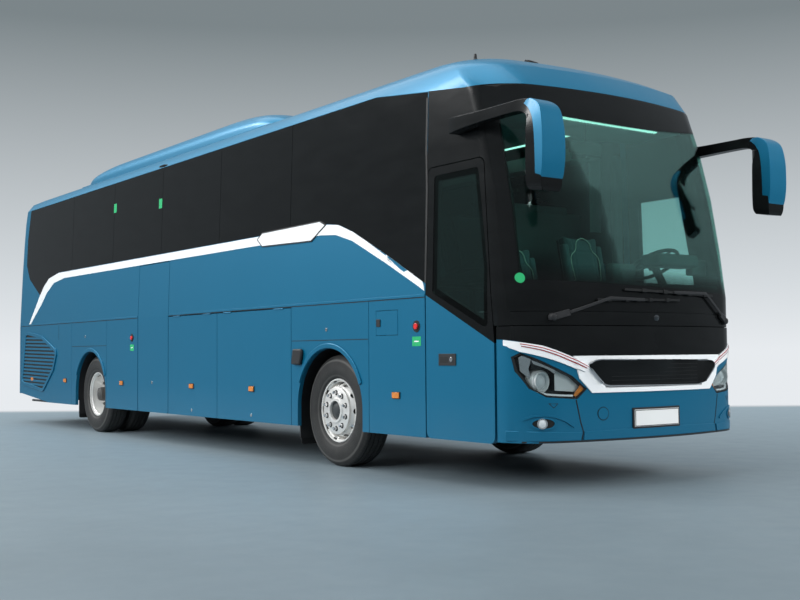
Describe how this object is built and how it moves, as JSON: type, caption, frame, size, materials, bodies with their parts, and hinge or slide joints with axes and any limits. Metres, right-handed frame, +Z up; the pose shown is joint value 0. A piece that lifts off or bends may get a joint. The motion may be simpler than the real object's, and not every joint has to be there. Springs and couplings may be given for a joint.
{
  "type": "touring coach",
  "caption": "Two-axle touring coach with bonded side glass, luggage flaps, swing-out doors, steered front wheels and a roof air conditioner.",
  "frame": {"origin": "on the ground below the middle of the coach's overall box, mirrors included", "axes": "+X forward, +Y to the coach's left, +Z up"},
  "size_m": [12.5155, 2.86, 3.77],
  "materials": {
    "body_paint": "deep blue gloss paint",
    "white_paint": "white gloss paint",
    "black_panel": "gloss black",
    "tinted_glass": "dark tinted bonded glass",
    "clear_glass": "clear glass with a green tint",
    "lamp_glass": "clear lamp cover",
    "red_lens": "red lens",
    "chassis": "black chassis paint",
    "floor_cover": "vinyl floor",
    "engine_block": "painted castings",
    "rubber": "tyre rubber",
    "wheel_steel": "silver painted steel",
    "seat_cloth": "woven upholstery",
    "interior_plastic": "moulded trim",
    "black_plastic": "black moulded plastic"
  },
  "bodies": {
    "coach": {"roof": "body_paint", "roof_air_conditioner": "body_paint", "side_wall_right": "body_paint", "side_wall_left": "body_paint", "side_glass_right": "tinted_glass", "side_glass_left": "tinted_glass", "side_skirt_right": "body_paint", "side_skirt_left": "body_paint", "front_frame": "black_panel", "windscreen": "clear_glass", "front_bumper": "body_paint", "front_grille": "white_paint", "headlights": "lamp_glass", "rear_wall": "body_paint", "rear_window": "tinted_glass", "rear_bumper": "body_paint", "tail_lamps": "red_lens", "engine": "engine_block", "floor": "floor_cover", "underframe": "chassis", "wheelhouses": "black_plastic", "tow_socket": "chassis", "dashboard": "interior_plastic", "front_seats": "seat_cloth", "passenger_seats_right": "seat_cloth", "passenger_seats_left": "seat_cloth", "luggage_racks": "interior_plastic", "front_axle": "chassis", "rear_axle": "chassis", "mirror_right": "black_plastic", "mirror_left": "black_plastic", "wipers": "black_plastic"},
    "knuckle_left": {"knuckle_left": "chassis"},
    "knuckle_right": {"knuckle_right": "chassis"},
    "front_wheel_left": {"front_tyre_left": "rubber", "front_rim_left": "wheel_steel"},
    "front_wheel_right": {"front_tyre_right": "rubber", "front_rim_right": "wheel_steel"},
    "rear_wheels_left": {"rear_tyres_left": "rubber", "rear_rims_left": "wheel_steel"},
    "rear_wheels_right": {"rear_tyres_right": "rubber", "rear_rims_right": "wheel_steel"},
    "track_rod": {"track_rod": "chassis"},
    "steering_wheel": {"steering_wheel": "black_plastic"},
    "front_door_arm": {"front_door_arm": "chassis"},
    "front_door": {"front_door": "body_paint", "front_door_glass": "clear_glass"},
    "rear_door_arm": {"rear_door_arm": "chassis"},
    "rear_door": {"rear_door": "body_paint"},
    "luggage_flap_right_front": {"luggage_flap_right_front": "body_paint"},
    "luggage_flap_right_rear": {"luggage_flap_right_rear": "body_paint"},
    "luggage_flap_left_front": {"luggage_flap_left_front": "body_paint"},
    "luggage_flap_left_rear": {"luggage_flap_left_rear": "body_paint"},
    "fuel_flap": {"fuel_flap": "body_paint"},
    "engine_hatch": {"engine_hatch": "body_paint"}
  },
  "joints": [
    {"name": "kingpin_left", "type": "hinge", "parent": "coach", "child": "knuckle_left", "pos_m": [3.171, 0.93, 0.52], "axis": [0, 0, 1], "range_deg": [-42, 42]},
    {"name": "kingpin_right", "type": "hinge", "parent": "coach", "child": "knuckle_right", "pos_m": [3.171, -0.93, 0.52], "axis": [0, 0, 1], "range_deg": [-42, 42]},
    {"name": "track_rod_pivot", "type": "hinge", "parent": "knuckle_left", "child": "track_rod", "pos_m": [3.001, 0.93, 0.42], "axis": [0, 0, 1], "range_deg": [-42, 42]},
    {"name": "front_wheel_left_spin", "type": "hinge", "parent": "knuckle_left", "child": "front_wheel_left", "pos_m": [3.171, 1.049, 0.52], "axis": [0, 1, 0], "continuous": true},
    {"name": "front_wheel_right_spin", "type": "hinge", "parent": "knuckle_right", "child": "front_wheel_right", "pos_m": [3.171, -1.049, 0.52], "axis": [0, 1, 0], "continuous": true},
    {"name": "rear_wheels_left_spin", "type": "hinge", "parent": "coach", "child": "rear_wheels_left", "pos_m": [-2.909, 0.8825, 0.52], "axis": [0, 1, 0], "continuous": true},
    {"name": "rear_wheels_right_spin", "type": "hinge", "parent": "coach", "child": "rear_wheels_right", "pos_m": [-2.909, -0.8825, 0.52], "axis": [0, 1, 0], "continuous": true},
    {"name": "steering_wheel_turn", "type": "hinge", "parent": "coach", "child": "steering_wheel", "pos_m": [5.441, 0.65, 1.8], "axis": [-0.5, 0, 0.866], "range_deg": [-757, 757]},
    {"name": "front_door_swing", "type": "hinge", "parent": "coach", "child": "front_door_arm", "pos_m": [5.3935, -1.165, 0.9], "axis": [0, 0, 1], "range_deg": [0, 130]},
    {"name": "front_door_level", "type": "hinge", "parent": "front_door_arm", "child": "front_door", "pos_m": [4.8935, -1.165, 0.9], "axis": [0, 0, 1], "range_deg": [-130, 0]},
    {"name": "rear_door_swing", "type": "hinge", "parent": "coach", "child": "rear_door_arm", "pos_m": [-1.1415, -1.165, 0.9], "axis": [0, 0, 1], "range_deg": [-130, 0]},
    {"name": "rear_door_level", "type": "hinge", "parent": "rear_door_arm", "child": "rear_door", "pos_m": [-0.6415, -1.165, 0.9], "axis": [0, 0, 1], "range_deg": [0, 130]},
    {"name": "luggage_flap_right_front_hinge", "type": "hinge", "parent": "coach", "child": "luggage_flap_right_front", "pos_m": [1.6935, -1.275, 1.502], "axis": [-1, 0, 0], "range_deg": [0, 90]},
    {"name": "luggage_flap_right_rear_hinge", "type": "hinge", "parent": "coach", "child": "luggage_flap_right_rear", "pos_m": [0.2585, -1.275, 1.502], "axis": [-1, 0, 0], "range_deg": [0, 90]},
    {"name": "luggage_flap_left_front_hinge", "type": "hinge", "parent": "coach", "child": "luggage_flap_left_front", "pos_m": [1.6935, 1.275, 1.502], "axis": [1, 0, 0], "range_deg": [0, 90]},
    {"name": "luggage_flap_left_rear_hinge", "type": "hinge", "parent": "coach", "child": "luggage_flap_left_rear", "pos_m": [0.2585, 1.275, 1.502], "axis": [1, 0, 0], "range_deg": [0, 90]},
    {"name": "fuel_flap_hinge", "type": "hinge", "parent": "coach", "child": "fuel_flap", "pos_m": [4.2735, -1.275, 1.315], "axis": [0, 0, 1], "range_deg": [0, 110]},
    {"name": "engine_hatch_hinge", "type": "hinge", "parent": "coach", "child": "engine_hatch", "pos_m": [-6.254, 0, 1.5], "axis": [0, 1, 0], "range_deg": [0, 75]}
  ],
  "couplings": [
    {"joint": "kingpin_right", "follows": "kingpin_left", "ratio": 1},
    {"joint": "track_rod_pivot", "follows": "kingpin_left", "ratio": -1},
    {"joint": "steering_wheel_turn", "follows": "kingpin_left", "ratio": 18},
    {"joint": "front_door_level", "follows": "front_door_swing", "ratio": -1},
    {"joint": "rear_door_level", "follows": "rear_door_swing", "ratio": -1}
  ]
}
